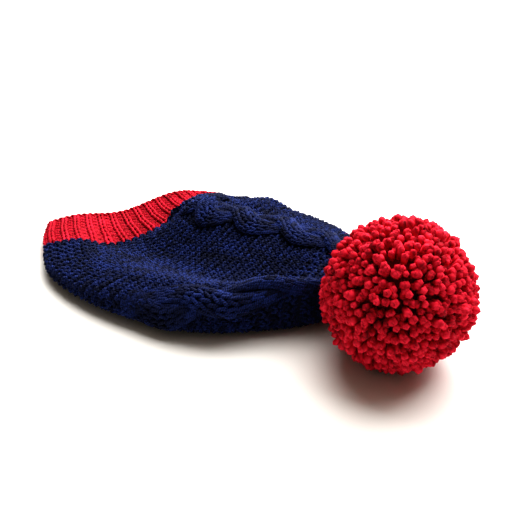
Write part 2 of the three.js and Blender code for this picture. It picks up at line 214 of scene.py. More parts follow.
def angle_at(row, column):
    """The angle round at any rows, for the shares in the given columns of SHARES."""
    place = row / LAST_ROW * (len(TABLE_ROWS) - 1)
    start = np.clip(np.floor(place).astype(int), 0, len(TABLE_ROWS) - 2)
    near, far = ANGLES[start, column], ANGLES[start + 1, column]
    far = far + TURN * np.round((near - far) / TURN)
    return mix(near, far, place - start)


def lip_share(angle):
    """1 where the crown laps back over the band, 0 where it starts flush with it."""
    across = -np.cos(angle)
    return np.where(np.sin(angle) >= 0, smooth(across, *LIP_ON_TOP), smooth(across, *LIP_UNDER))


class Fabric:
    """A grid of points on a piece's outer side, along by round, that stitches are laid out on.
    The normals are the cross product of the steps along and round, and widths are mm for the
    whole of the way round at each point's own spacing."""

    def __init__(self, along, shares, points, closed=True):
        self.along, self.shares, self.points, self.closed = along, shares, points, closed
        d_along = np.gradient(points, axis=0)
        if closed:
            padded = np.concatenate([points[:, -2:-1], points, points[:, 1:2]], axis=1)
            d_round = (padded[:, 2:] - padded[:, :-2]) / 2
        else:
            d_round = np.gradient(points, axis=1)
        self.normals = unit(np.cross(d_along, d_round))
        step = (shares[-1] - shares[0]) / (len(shares) - 1)
        self.widths = np.linalg.norm(d_round, axis=-1) / step

    def look(self, grid, along, share):
        """A grid's values at any places, each mixed from the four grid points about it."""
        i = np.interp(along, self.along, np.arange(len(self.along)))
        if self.closed:
            share = share % 1
        j = (share - self.shares[0]) / (self.shares[-1] - self.shares[0]) * (len(self.shares) - 1)
        j = np.clip(j, 0, len(self.shares) - 1)
        i0 = np.clip(np.floor(i).astype(int), 0, len(self.along) - 2)
        j0 = np.clip(np.floor(j).astype(int), 0, len(self.shares) - 2)
        u, v = i - i0, j - j0
        if grid.ndim == 3:
            u, v = u[..., None], v[..., None]
        low = mix(grid[i0, j0], grid[i0, j0 + 1], v)
        high = mix(grid[i0 + 1, j0], grid[i0 + 1, j0 + 1], v)
        return mix(low, high, u)

    def at(self, along, share, out):
        """Points that stand out by some millimetres, with their normals."""
        normal = unit(self.look(self.normals, along, share))
        return self.look(self.points, along, share) + normal * out[..., None], normal


BAND_LINES = 81
LIP_LINES, LIP_LINES_END = 120, 26  # lines close together over the lip, up to this distance
CROWN_LINES, CROWN_LINES_START = 280, 26.5  # and wider apart from this one on
COURSE_LINES = 411
EVEN_LENGTH = 100  # over this much of the crown's start the courses are spaced evenly


def band_fabric():
    """The band's outer side at the crests of its ribs, from the brim to the band's end."""
    along = np.linspace(0, band_length, BAND_LINES)
    row = row_at(along - band_length)[:, None]
    columns = np.arange(len(SHARES))[None, :]
    row, columns = np.broadcast_arrays(row, columns)
    return Fabric(along, SHARES, hat_surface(row, angle_at(row, columns)))


def crown_by_distance():
    """The crown's outer side without cables, as the solid has it: near its start it first runs
    back over the band and then forward above it, where the full crown slouches. It lies
    lap * sin(pi * t to the power skew) behind its own distance, with t the share of the lip's
    length, and is lifted off the plain surface by clear + rise."""
    along = np.concatenate([np.linspace(CROWN_START, LIP_LINES_END, LIP_LINES),
                            np.linspace(CROWN_LINES_START, crown_length, CROWN_LINES)])
    columns = np.arange(len(SHARES))[None, :]
    distance, columns = np.broadcast_arrays(along[:, None], columns)
    lip = lip_share(angle_at(row_at(distance), columns))
    t = np.clip((distance - CROWN_START) / LIP_LENGTH, 0, 1)
    row = row_at(distance - lip * LIP_LAP * np.sin(np.pi * t**LIP_SKEW))
    rise = LIP_CLEAR * smooth(lip, *LIP_CLEARS) + LIP_RISE * lip * smooth(t, *LIP_RISES)
    settle = 1 - smooth(distance, LIP_LENGTH, 3 * LIP_LENGTH)
    angle = angle_at(row, columns)
    points = hat_surface(row, angle) + hat_normal(row, angle) * (rise * settle)[..., None]
    points[..., 2] = np.maximum(points[..., 2], 0)
    return Fabric(along, SHARES, points)


def crown_by_courses(crown):
    """The same side again, with its lines along set out so that over the first part of the crown
    the courses lie at even lengths of the real surface, lip included."""
    steps = np.linalg.norm(np.diff(crown.points, axis=0), axis=-1)
    length = np.vstack([np.zeros(len(SHARES)), np.cumsum(steps, axis=0)])
    along = np.linspace(crown.along[0], crown_length, COURSE_LINES)
    even = (along - along[0]) / (EVEN_LENGTH - along[0])
    grid = np.empty((len(along), len(SHARES), 3))
    for j in range(len(SHARES)):
        own = np.interp(along, crown.along, length[:, j])
        wanted = np.where(even < 1, np.interp(EVEN_LENGTH, crown.along, length[:, j]) * even, own)
        for k in range(3):
            grid[:, j, k] = np.interp(wanted, length[:, j], crown.points[:, j, k])
    return Fabric(along, SHARES, grid)


# ---------------------------------------------------------------- yarn
TUBE_SIDES = 5
TUBE_END = 0.6  # of the radius, how far the point that closes a tube stands out


def yarn_tubes(centres, normals, radius, shade, sides=TUBE_SIDES):
    """Tubes round many lines at once: at each point of a line a ring, centre + radius * (cos of
    the turn * up + sin of the turn * beside), with up and beside square to the line, and a point
    at each end that closes it. Returns points, quads, triangles, and for each point the length
    along in mm, the turn round from 0 to 1 and the shade of its tube."""
    count, points = centres.shape[:2]
    ahead = unit(np.gradient(centres, axis=1))
    beside = unit(np.cross(ahead, normals))
    up = np.cross(beside, ahead)
    turn = TURN * np.arange(sides) / sides
    ring = np.cos(turn)[:, None] * up[:, :, None, :]
    ring = ring + np.sin(turn)[:, None] * beside[:, :, None, :]
    rings = centres[:, :, None, :] + ring * radius[:, :, None, None]
    ends = np.stack([centres[:, 0] - ahead[:, 0] * radius[:, :1] * TUBE_END,
                     centres[:, -1] + ahead[:, -1] * radius[:, -1:] * TUBE_END], axis=1)
    coords = np.concatenate([rings.reshape(count, -1, 3), ends], axis=1)
    each = points * sides + 2
    i, j = np.meshgrid(np.arange(points - 1), np.arange(sides), indexing="ij")
    k = (j + 1) % sides
    quads = np.stack([i * sides + j, i * sides + k,
                      (i + 1) * sides + k, (i + 1) * sides + j], axis=-1).reshape(-1, 4)
    j = np.arange(sides)
    k = (j + 1) % sides
    last = (points - 1) * sides
    caps = np.concatenate([
        np.stack([k, j, np.full_like(j, each - 2)], axis=-1),
        np.stack([last + j, last + k, np.full_like(j, each - 1)], axis=-1)])
    shift = (np.arange(count) * each)[:, None, None]
    step = np.linalg.norm(np.diff(centres, axis=1), axis=-1)
    run = np.concatenate([np.zeros((count, 1)), np.cumsum(step, axis=1)], axis=1)
    turns = np.arange(sides) / sides
    along = np.repeat(run[:, :, None], sides, axis=2).reshape(count, -1)
    along = np.concatenate([along, run[:, :1], run[:, -1:]], axis=1)
    around = np.broadcast_to(turns, (count, points, sides)).reshape(count, -1)
    around = np.concatenate([around, np.zeros((count, 2))], axis=1)
    return {
        "points": coords.reshape(-1, 3),
        "quads": (quads[None] + shift).reshape(-1, 4),
        "triangles": (caps[None] + shift).reshape(-1, 3),
        "along": along.reshape(-1),
        "around": around.reshape(-1),
        "shade": np.repeat(shade, each),
    }


def join(*parts):
    """Several sets of tubes or shells as one."""
    base = np.cumsum([0] + [len(p["points"]) for p in parts])
    joined = {key: np.concatenate([p[key] for p in parts])
              for key in ("points", "along", "around", "shade")}
    for key in ("quads", "triangles"):
        joined[key] = np.concatenate([p[key] + b for p, b in zip(parts, base)])
    return joined


LOOP_POINTS = 11
LOOP_HEIGHT = 0.93  # of a course, from a loop's middle to its head or foot
LOOP_FLATNESS = 0.8  # below 1, heads and feet are broader than a sine's
PURL_OPEN, KNIT_OPEN = 0.2, 0.28  # of a stitch, how much wider a loop is at its head than its foot
LOOP_DEPTH = 1.35  # from the middle of the knitting to the yarn's middle, outwards and inwards
LOOP_SQUARENESS = 0.6  # below 1, the yarn stays longer out and in, and crosses between them fast
RIB_DEPTH = 0.85 * LOOP_DEPTH  # the same depth in a rib
RIDGE = 0.8  # how far a course's line of purl bumps stands out more than the yarn between courses
PURL_OUT, KNIT_OUT = 1, -1  # the side of the knitting that faces outwards
HAND_WOBBLE = 0.16  # how far a hand-knitted loop strays from its place, as a standard deviation
OFF_FLOOR = 0.05


def signed_power(x, power):
    """The size of x to a power, with the sign of x."""
    return np.sign(x) * np.abs(x) ** power


def yarn_scale(width):
    """The yarn's share of its full radius where stitches have the given width: the width over
    the full stitch's, within the limits for squeezed and slack yarn."""
    return np.clip(width / FULL_STITCH, *YARN_SHARE)


def loops(fabric, wale, course, wales, course_length, start, side, rib=0.0,
          thickness=YARN_RADIUS, height=LOOP_HEIGHT):
    """One loop of yarn for each wale and course number given. Through a stitch t runs half a turn
    each side of the loop's head: across = t / turn + open * sin 2t in stitches, along =
    height * cos t to the power 0.8 in courses, and out = side * depth * cos 2t to the power 0.6,
    signs kept. So on the purl side (1) the heads and feet stand out, in a ridge along the course,
    and on the knit side (-1) the legs do, as V's. In a rib the side changes from stitch to stitch
    as cos(t / 2), and the knit wales stand out by rib."""
    t = np.linspace(-math.pi, math.pi, LOOP_POINTS)[None, :]
    wale, course = wale[:, None], course[:, None]
    opened = KNIT_OPEN if side < 0 and not rib else PURL_OPEN
    across = (wale + 0.5 + t / TURN + opened * np.sin(2 * t)) / wales
    whole = fabric.shares[-1] - fabric.shares[0]
    share = fabric.shares[0] + whole * across
    along = start + (course + 0.5 + height * signed_power(np.cos(t), LOOP_FLATNESS)) * course_length
    along = np.clip(along, fabric.along[0], fabric.along[-1])
    width = fabric.look(fabric.widths, along, share) * whole / wales
    radius = thickness * yarn_scale(width)
    scale = radius / YARN_RADIUS
    if rib:
        knit = signed_power(np.cos(math.pi * wale + t / 2), LOOP_SQUARENESS)
        out = -knit * RIB_DEPTH * np.cos(2 * t) + rib * knit
        deepest = RIB_DEPTH + rib
    else:
        wave = np.cos(2 * t)
        out = side * LOOP_DEPTH * signed_power(wave, LOOP_SQUARENESS)
        if side > 0:
            out = out + RIDGE * (np.maximum(wave, 0) ** LOOP_SQUARENESS - 0.5)
        deepest = LOOP_DEPTH
    out = (out - deepest) * scale - radius
    wobble = seeded.normal(0, HAND_WOBBLE, (len(wale), 3))
    points, normals = fabric.at(along, share, out)
    points = points + wobble[:, None, :]
    points[..., 2] = np.maximum(points[..., 2], radius + OFF_FLOOR)
    shade = seeded.random(len(wale))
    return yarn_tubes(points, normals, radius, shade)


def numbered(wales, first, last):
    """Wale and course numbers of a whole block of stitches."""
    course, wale = np.meshgrid(np.arange(first, last), np.arange(wales), indexing="ij")
    return wale.ravel(), course.ravel()


FELT_RINGS, FELT_ROUND = 64, 180
FELT_OFF_FLOOR = 0.3
# Low, so that the felt is painted near the dark end of the yarn's colours, as shade between the
# loops.
FELT_PAINTED_SHADE = 0.2


def shell(fabric, middle, half):
    """The felted middle of the knitting behind its loops: a thin closed tube, with its two sides
    middle - half and middle + half in from the outer side, joined at both rims."""
    rows = np.linspace(fabric.along[0], fabric.along[-1], FELT_RINGS)
    shares = np.linspace(0, 1, FELT_ROUND + 1)[:-1]
    along, share = np.meshgrid(rows, shares, indexing="ij")
    scale = yarn_scale(fabric.look(fabric.widths, along, share) / STITCHES_ROUND)
    outer, _ = fabric.at(along, share, -(middle - half) * scale)
    inner, _ = fabric.at(along, share, -(middle + half) * scale)
    grid = np.concatenate([outer, inner[::-1]])
    grid[..., 2] = np.maximum(grid[..., 2], FELT_OFF_FLOOR)
    rings, around = grid.shape[:2]
    i, j = np.meshgrid(np.arange(rings), np.arange(around), indexing="ij")
    a, b = (i + 1) % rings, (j + 1) % around
    quads = np.stack([i * around + j, a * around + j, a * around + b, i * around + b], axis=-1)
    count = rings * around
    return {
        "points": grid.reshape(-1, 3), "quads": quads.reshape(-1, 4),
        "triangles": np.zeros((0, 3), int), "along": np.zeros(count),
        "around": np.zeros(count), "shade": np.full(count, FELT_PAINTED_SHADE),
    }


def mesh_object(name, parts, material):
    """A mesh object, in metres, with its yarn's run and turn as a UV map and a shade per point.
    A tube's turn goes from 0 to 1, so on the faces that close a ring the corners at 0 get 1."""
    mesh = bpy.data.meshes.new(name)
    corners = np.concatenate([parts["quads"].ravel(), parts["triangles"].ravel()]).astype(np.int32)
    sizes = np.concatenate([np.full(len(parts["quads"]), 4), np.full(len(parts["triangles"]), 3)])
    starts = np.concatenate([[0], np.cumsum(sizes)[:-1]])
    mesh.vertices.add(len(parts["points"]))
    mesh.vertices.foreach_set("co", (parts["points"] / MM_PER_METRE).astype(np.float32).ravel())
    mesh.loops.add(len(corners))
    mesh.loops.foreach_set("vertex_index", corners)
    mesh.polygons.add(len(sizes))
    mesh.polygons.foreach_set("loop_start", starts.astype(np.int32))
    mesh.polygons.foreach_set("use_smooth", np.ones(len(sizes), bool))
    mesh.update(calc_edges=True)
    mesh.validate()
    around = parts["around"][corners]
    quads = around[: parts["quads"].size].reshape(-1, 4)
    closing = (quads.max(axis=1) - quads.min(axis=1) > 0.5)[:, None]
    quads = np.where(closing & (quads < 0.1), quads + 1, quads)
    around = np.concatenate([quads.ravel(), around[parts["quads"].size:]])
    run_and_turn = np.stack([parts["along"][corners], around], axis=-1)
    uv = mesh.uv_layers.new(name="yarn")
    uv.data.foreach_set("uv", run_and_turn.astype(np.float32).ravel())
    shade = mesh.attributes.new("shade", "FLOAT", "POINT")
    shade.data.foreach_set("value", parts["shade"].astype(np.float32))
    mesh.materials.append(material)
    thing = bpy.data.objects.new(name, mesh)
    bpy.context.collection.objects.link(thing)
    return thing


# ---------------------------------------------------------------- materials
def linear(hex_colour):
    """An sRGB hex colour as linear RGBA."""
    parts = [int(hex_colour[i:i + 2], 16) / 255 for i in (1, 3, 5)]
    return [c / 12.92 if c <= 0.04045 else ((c + 0.055) / 1.055) ** 2.4 for c in parts] + [1.0]


def add(tree, kind, settings=None, **links):
    """Adds a node, sets its properties and inputs, and links other nodes' outputs to its inputs.
    Names of inputs are written with underscores for spaces, and a number picks one by place."""
    node = tree.nodes.new(kind)
    for key, value in (settings or {}).items():
        if isinstance(key, int) or key in node.inputs.keys():
            node.inputs[key].default_value = value
        else:
            setattr(node, key, value)
    for key, output in links.items():
        place = int(key[1:]) if key[0] == "i" and key[1:].isdigit() else key.replace("_", " ")
        tree.links.new(output, node.inputs[place])
    return node


PLY_PITCH = 3.4
FIBRE_CLUMP = 0.45
DYE_PATCH = 9
PAPER_GRAIN = 5 / 9
# The groove's part is painted shade in the ply grooves and painted highlight on the plies' tops.
SHADE_PART, GROOVE_PAINTED_SHADE_PART, DYE_PART = 0.45, 0.3, 0.35  # what each adds to the place on the ramp


def noise_scale(grain):
    """The noise texture's scale, in cells for each metre, for light and dark grains of a size in
    mm: a light and a dark one make one cell."""
    return MM_PER_METRE / grain / 2


def wool(name, deep, plain, lit, sheen, ply_pitch=PLY_PITCH):
    """Plied wool yarn, spun and left slightly fuzzy: matt, with a soft sheen from its loose
    fibres. Its plies bulge as the size of sin(2 pi * (run / pitch + turn round)), with slanting
    grooves between them, and clumps of fibres of about 0.45 mm give it a fine rough surface. Dye
    takes unevenly, so stitches differ a little and patches of about 9 mm are darker. The colours
    go from deep over plain to lit: painted shade darkens the grooves toward deep and a painted
    highlight lightens the plies' tops toward lit, and pieces given a low shade, the felt and the
    pompom's middle, are painted dark as shade."""
    material = bpy.data.materials.new(name)
    material.use_nodes = True
    tree = material.node_tree
    tree.nodes.clear()
    run = add(tree, "ShaderNodeUVMap", {"uv_map": "yarn"})
    parts = add(tree, "ShaderNodeSeparateXYZ", Vector=run.outputs[0])
    twist = add(tree, "ShaderNodeMath", {"operation": "MULTIPLY_ADD", 1: 1 / ply_pitch},
                i0=parts.outputs[0], i2=parts.outputs[1])
    wave = add(tree, "ShaderNodeMath", {"operation": "MULTIPLY", 1: TURN}, i0=twist.outputs[0])
    ply = add(tree, "ShaderNodeMath", {"operation": "SINE"}, i0=wave.outputs[0])
    groove = add(tree, "ShaderNodeMath", {"operation": "ABSOLUTE"}, i0=ply.outputs[0])
    place = add(tree, "ShaderNodeTexCoord").outputs["Object"]
    fibres = add(tree, "ShaderNodeTexNoise", {
        "Scale": noise_scale(FIBRE_CLUMP), "Detail": 2.0, "Roughness": 0.7}, Vector=place)
    dye = add(tree, "ShaderNodeTexNoise", {"Scale": noise_scale(DYE_PATCH), "Detail": 1.0},
              Vector=place)
    shade = add(tree, "ShaderNodeAttribute", {"attribute_name": "shade"})
    blend = add(tree, "ShaderNodeMath", {"operation": "MULTIPLY_ADD", 1: SHADE_PART, 2: 0.0},
                i0=shade.outputs["Fac"])
    # Painted shade in the ply grooves and painted highlight on the plies' tops.
    blend = add(tree, "ShaderNodeMath", {"operation": "MULTIPLY_ADD", 1: GROOVE_PAINTED_SHADE_PART},
                i0=groove.outputs[0], i2=blend.outputs[0])
    blend = add(tree, "ShaderNodeMath", {"operation": "MULTIPLY_ADD", 1: DYE_PART},
                i0=dye.outputs[0], i2=blend.outputs[0])
    ramp = add(tree, "ShaderNodeValToRGB", Fac=blend.outputs[0])
    stops = ramp.color_ramp.elements
    stops[0].position, stops[0].color = 0.1, linear(deep)
    stops[1].position, stops[1].color = 0.95, linear(lit)
    middle = stops.new(0.5)
    middle.color = linear(plain)
    height = add(tree, "ShaderNodeMath", {"operation": "MULTIPLY_ADD", 1: 0.5},
                 i0=fibres.outputs[0], i2=groove.outputs[0])
    bump = add(tree, "ShaderNodeBump", {"Strength": 0.75, "Distance": 0.0006},
               Height=height.outputs[0])
    shader = add(tree, "ShaderNodeBsdfPrincipled", {
        "Roughness": 0.85, "Specular IOR Level": 0.25, "Sheen Weight": sheen,
        "Sheen Roughness": 0.45, "Sheen Tint": linear(lit),
    }, Base_Color=ramp.outputs[0], Normal=bump.outputs[0])
    add(tree, "ShaderNodeOutputMaterial", Surface=shader.outputs[0])
    return material


def plain_paper(name, colour):
    """Matt seamless backdrop paper: even and without gloss, with a very faint grain."""
    material = bpy.data.materials.new(name)
    material.use_nodes = True
    tree = material.node_tree
    tree.nodes.clear()
    place = add(tree, "ShaderNodeTexCoord").outputs["Object"]
    grain = add(tree, "ShaderNodeTexNoise", {"Scale": noise_scale(PAPER_GRAIN), "Detail": 2.0},
                Vector=place)
    bump = add(tree, "ShaderNodeBump", {"Strength": 0.03, "Distance": 0.0004},
               Height=grain.outputs[0])
    shader = add(tree, "ShaderNodeBsdfPrincipled", {
        "Base Color": linear(colour), "Roughness": 0.95, "Specular IOR Level": 0.1,
    }, Normal=bump.outputs[0])
    add(tree, "ShaderNodeOutputMaterial", Surface=shader.outputs[0])
    return material


# Hand-knitted navy wool: matt, with painted shade that makes it nearly black in the ply grooves and
# on the felt between the stitches, so that the eye sees the pattern of the loops, and a deep royal
# blue painted on the plies' tops as highlight and given to the sheen where light grazes them.
navy_wool = wool("navy plied wool, hand-knitted", "#060b1e", "#0c1538", "#243674", 0.08)
# The same yarn dyed crimson, with the same painted shade in its ply grooves and on the felt that
# shows dark red in the furrows between the ribs.
red_wool = wool("crimson plied wool, hand-knitted", "#6c0516", "#b41029", "#ce2240", 0.12)
# Cut ends of red yarn, whose plies have opened, so the grooves are drawn much further apart than
# the twist's own: soft, bright tips over a middle painted nearly black as the shade deep among the
# ends.
pompom_wool = wool("red plied wool, cut ends", "#3a020a", "#c0122e", "#f03450", 0.14, ply_pitch=12)
# White seamless paper: so plain that only the soft shadows show on it.
paper = plain_paper("white backdrop paper", "#e6e4e0")

# ---------------------------------------------------------------- knitted pieces
BAND_COURSE = band_length / BAND_COURSES
COURSE = (crown_length - CROWN_START) / CROWN_COURSES

band = band_fabric()
crown_plain = crown_by_distance()
crown = crown_by_courses(crown_plain)


RIB_RISE = 0.8  # the knit ribs stand out by this much more, and the purl ones sink in
BAND_YARN, CABLE_YARN = 1.22, 1.4  # the yarn's radius in the tight rib and in the loose cables
BAND_LOOP_HEIGHT = 0.9
# How deep the felt's middle lies under each outer side, and half of its thickness.
BAND_FELT, CROWN_FELT, GATHER_FELT = (3.2, 0.5), (3.7, 0.4), (3.4, 0.4)


def rib_band():
    """The band in knit 1, purl 1: wales of the two kinds in turn, with the felt behind them."""
    wale, course = numbered(2 * RIBS_ROUND, 0, BAND_COURSES)
    stitches = loops(band, wale, course, 2 * RIBS_ROUND, BAND_COURSE, 0, KNIT_OUT, rib=RIB_RISE,
                     thickness=BAND_YARN, height=BAND_LOOP_HEIGHT)
    return join(stitches, shell(band, *BAND_FELT))


def crown_ground(first, last):
    """The crown's plain knitting, purl side out, from one course number up to another."""
    wale, course = numbered(STITCHES_ROUND, first, last)
    return loops(crown, wale, course, STITCHES_ROUND, COURSE, CROWN_START, PURL_OUT)


def crown_narrow():
    """The crown's last courses, where every two stitches have been knitted together."""
    half = STITCHES_ROUND // 2
    wale, course = numbered(half, CROWN_COURSES - NARROW_COURSES, CROWN_COURSES)
    return loops(crown, wale, course, half, COURSE, CROWN_START, PURL_OUT)


CABLE_WALES = 4  # in each of a cable's two strands
CABLE_COURSE = 5.3
CABLE_MARGIN = 6  # strands start this far before a cable rises and end this far from the hat's end
CABLE_LINES, STRAND_LINES = 360, 31
STRAND_BEND = 1.45  # half of the angle that a strand's rounded top takes up, in radians
UNDER_SINK = 0.6  # the cable underneath is pressed flat, with its lower strand sunk by twice this


def cable_begins(cable):
    """The distance at which a cable's stitches begin, just before it starts to rise."""
    return max(CROWN_START + 1, CABLE_START[cable][0] - CABLE_MARGIN)


def cable_strand(cable, side):
    """One strand of a cable, as a fabric whose wales run along it. At phase = pi * (distance /
    crossing + cable / 2) + side its middle lies 2 cos(phase) stitches off the cable's middle. A
    wale at the angle bend across the strand lies 2 sin(bend) stitches further, and stands out by
    (rise + crossing rise * sin(phase)) * cos(bend), or on the cable underneath by
    sink * (sin(phase) - 1)."""
    along = np.linspace(cable_begins(cable), crown_length - CABLE_MARGIN, CABLE_LINES)
    bends = np.linspace(-STRAND_BEND, STRAND_BEND, STRAND_LINES)
    distance, bend = np.meshgrid(along, bends, indexing="ij")
    phase = math.pi * (distance / CABLE_CROSSING + cable / 2) + side
    share = cable / CABLES + (np.cos(phase) + np.sin(bend)) * CABLE_STITCHES / 4 / STITCHES_ROUND
    fade = smooth(distance, *CABLE_START[cable]) * (
        1 - smooth(distance, crown_length - CABLE_END[0], crown_length - CABLE_END[1]))
    rise = (CABLE_RISE + CROSSING_RISE * np.sin(phase)) * np.cos(bend)
    if cable == CABLES - 1:
        rise = UNDER_SINK * (np.sin(phase) - 1)
    points, _ = crown_plain.at(distance, share, rise * fade)
    return Fabric(along, (bends + STRAND_BEND) / (2 * STRAND_BEND), points, closed=False)


def cable(number):
    """A cable's two strands, half a turn apart, each knitted on its own rounded fabric."""
    strands = []
    for side in (0, math.pi):
        strand = cable_strand(number, side)
        length = strand.along[-1] - strand.along[0]
        courses = round(length / CABLE_COURSE)
        wale, course = numbered(CABLE_WALES, 0, courses)
        strands.append(loops(strand, wale, course, CABLE_WALES, length / courses,
                             strand.along[0], KNIT_OUT, thickness=CABLE_YARN))
    return join(*strands)


GATHER_LINES = 41
GATHER_BULGE = 1.5
GATHER_WALES, GATHER_COURSES = 24, 4


def gathered_end():
    """The decreased stitches drawn together on the hole: the crown's last ring is carried in along
    its spokes to the hole's circle, square to the line from the hole to the pompom, and bulges by
    1.5 * sin(pi * share) on the way. The height it starts off that plane fades as share squared."""
    axis = unit(POMPOM_CENTRE - HOLE_CENTRE)
    ring = crown.points[-1]
    spoke = ring - HOLE_CENTRE
    off = spoke @ axis
    spoke = spoke - off[:, None] * axis
    reach = np.linalg.norm(spoke, axis=-1)
    share = np.linspace(1, 0, GATHER_LINES)[:, None]
    radius = mix(HOLE_RADIUS, reach[None, :], share)
    ahead = off[None, :] * share**2 + GATHER_BULGE * np.sin(np.pi * share)
    points = HOLE_CENTRE + axis * ahead[..., None] + unit(spoke)[None] * radius[..., None]
    return Fabric(np.linspace(0, reach.mean(), GATHER_LINES), SHARES, points)


def gathered_stitches():
    """The last few stitches, drawn together on the hole, with the felt behind them."""
    end = gathered_end()
    wale, course = numbered(GATHER_WALES, 0, GATHER_COURSES)
    length = end.along[-1] / GATHER_COURSES
    stitches = loops(end, wale, course, GATHER_WALES, length, 0, PURL_OUT)
    return join(stitches, shell(end, *GATHER_FELT))


CAST_ON_STEPS = 12  # points for each turn of the twist
CAST_ON_SWING = 1.1  # from the middle of the edge to each strand's middle
CAST_ON_AT, CAST_ON_DEPTH = 0.6, 2.9  # that middle, from the brim and under the outer side
CAST_ON_YARN = 1.2
CAST_ON_LOWEST = 1.3
CAST_ON_SHADES = np.array([0.4, 0.6])


def cast_on_edge():
    """The edge that the band is cast on with: two strands that twist round each other along the
    brim, one turn for every two stitches, as swing * (sin of the turn along, cos out)."""
    share = np.linspace(0, 1, RIBS_ROUND * CAST_ON_STEPS + 1)[None, :]
    turn = TURN * RIBS_ROUND * share + np.array([[0], [math.pi]])
    share = np.broadcast_to(share, turn.shape)
    points, normals = band.at(CAST_ON_AT + CAST_ON_SWING * np.sin(turn), share,
                              -CAST_ON_DEPTH + CAST_ON_SWING * np.cos(turn))
    points[..., 2] = np.maximum(points[..., 2], CAST_ON_LOWEST)
    return yarn_tubes(points, normals, np.full(turn.shape, CAST_ON_YARN), CAST_ON_SHADES)


FIBRE_POINTS = 4
FIBRE_RADIUS = 0.07  # real wool is some four times finer, too fine to show
FIBRE_LIFT = np.array([0, 0, 0.35])  # added to a random direction, so that more stand up
FIBRE_BEND = 0.5
FIBRE_LOWEST = 0.15
FIBRE_SHADE = 0.8
# How many fibres stand off the yarn, and the longest of them.
BAND_FIBRES, CROWN_FIBRES, POMPOM_FIBRES = (1200, 3), (3600, 3.5), (2600, 4)


def loose_fibres(parts, count, longest):
    """Hairs of wool that stand off the yarn: each starts on a point of the stitches and runs
    length * (way * t + bend * t squared), in a random direction that tends slightly upwards and
    with a random bend, for 0.4 to 1 times the longest."""
    picked = seeded.integers(0, len(parts["points"]), count)
    start = parts["points"][picked]
    way = unit(seeded.normal(0, 1, (count, 3)) + FIBRE_LIFT)
    bend = unit(seeded.normal(0, 1, (count, 3))) * FIBRE_BEND
    t = np.linspace(0, 1, FIBRE_POINTS)[None, :, None]
    length = longest * seeded.uniform(0.4, 1, (count, 1, 1))
    points = start[:, None] + length * (way[:, None] * t + bend[:, None] * t**2)
    points[..., 2] = np.maximum(points[..., 2], FIBRE_LOWEST)
    normals = np.repeat(unit(np.cross(way, bend))[:, None], FIBRE_POINTS, axis=1)
    radius = np.full((count, FIBRE_POINTS), FIBRE_RADIUS)
    return yarn_tubes(points, normals, radius, np.full(count, FIBRE_SHADE), sides=3)


pieces = []


def make(name, parts, material, node):
    """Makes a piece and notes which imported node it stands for."""
    pieces.append((mesh_object(name, parts, material), node))


ribbing = rib_band()
make("band_stitches", ribbing, red_wool, "rib_band")
make("band_cast_on", cast_on_edge(), red_wool, "rib_band")
make("band_fibres", loose_fibres(ribbing, *BAND_FIBRES), red_wool, "rib_band")
third = CROWN_COURSES // 3
ground = (
    crown_ground(0, third),
    crown_ground(third, 2 * third),
    join(crown_ground(2 * third, CROWN_COURSES - NARROW_COURSES), crown_narrow(),
         gathered_stitches()),
)
for name, stitches in zip(("start", "middle", "end"), ground):
    make(f"crown_stitches_{name}", stitches, navy_wool, "crown")
make("crown_felt", shell(crown, *CROWN_FELT), navy_wool, "crown")
make("crown_fibres", loose_fibres(join(*ground), *CROWN_FIBRES), navy_wool, "crown")
for number, name in enumerate(("front", "top", "under")):
    make(f"cable_{name}", cable(number), navy_wool, "crown")

# ---------------------------------------------------------------- pompom
TUFTS = 1500
TUFT_STRAY = 0.024  # how far a tuft strays from its even place, of the pompom's radius
TUFT_LEAN = 0.1
TUFT_FROM = 0.6  # of the pompom's radius, where a tuft starts inside it
TRIM_SHORT, TRIM_SPREAD = 3.6, 0.9  # ends fall short by up to the first, give or take the second
TRIM_WAVE = 1.6
TRIM_ONE_WAY, TRIM_OTHER_WAY = np.array([4, -3, 2]), np.array([1, 4, 5])
# Along a tuft from its start to its cut end, and the yarn's radius there.
TUFT_PLACES = np.array([0, 0.35, 0.62, 0.8, 0.9, 0.965, 1.0])
TUFT_RADII = np.array([1.4, 1.7, 2.1, 2.6, 2.8, 2.5, 1.5])
TUFT_THICKNESS = (0.78, 1.14)  # the thinnest and the thickest tuft, of those radii
TUFT_LOWEST = 0.1
MIDDLE_SHARE = 0.82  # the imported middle's radius, of the pompom's
MIDDLE_RINGS, MIDDLE_ROUND = 24, 40
# Low, so that the middle is painted nearly black, as the shade deep among the cut ends.
MIDDLE_PAINTED_SHADE = 0.1


def even_directions(count):
    """Directions spread evenly over a ball: each turns by the golden angle from the last, and
    their heights 1 - 2i / count are evenly spaced."""
    i = np.arange(count) + 0.5
    height = 1 - 2 * i / count
    turn = math.pi * (1 + math.sqrt(5)) * i
    flat = np.sqrt(1 - height**2)
    return np.stack([flat * np.cos(turn), flat * np.sin(turn), height], axis=-1)


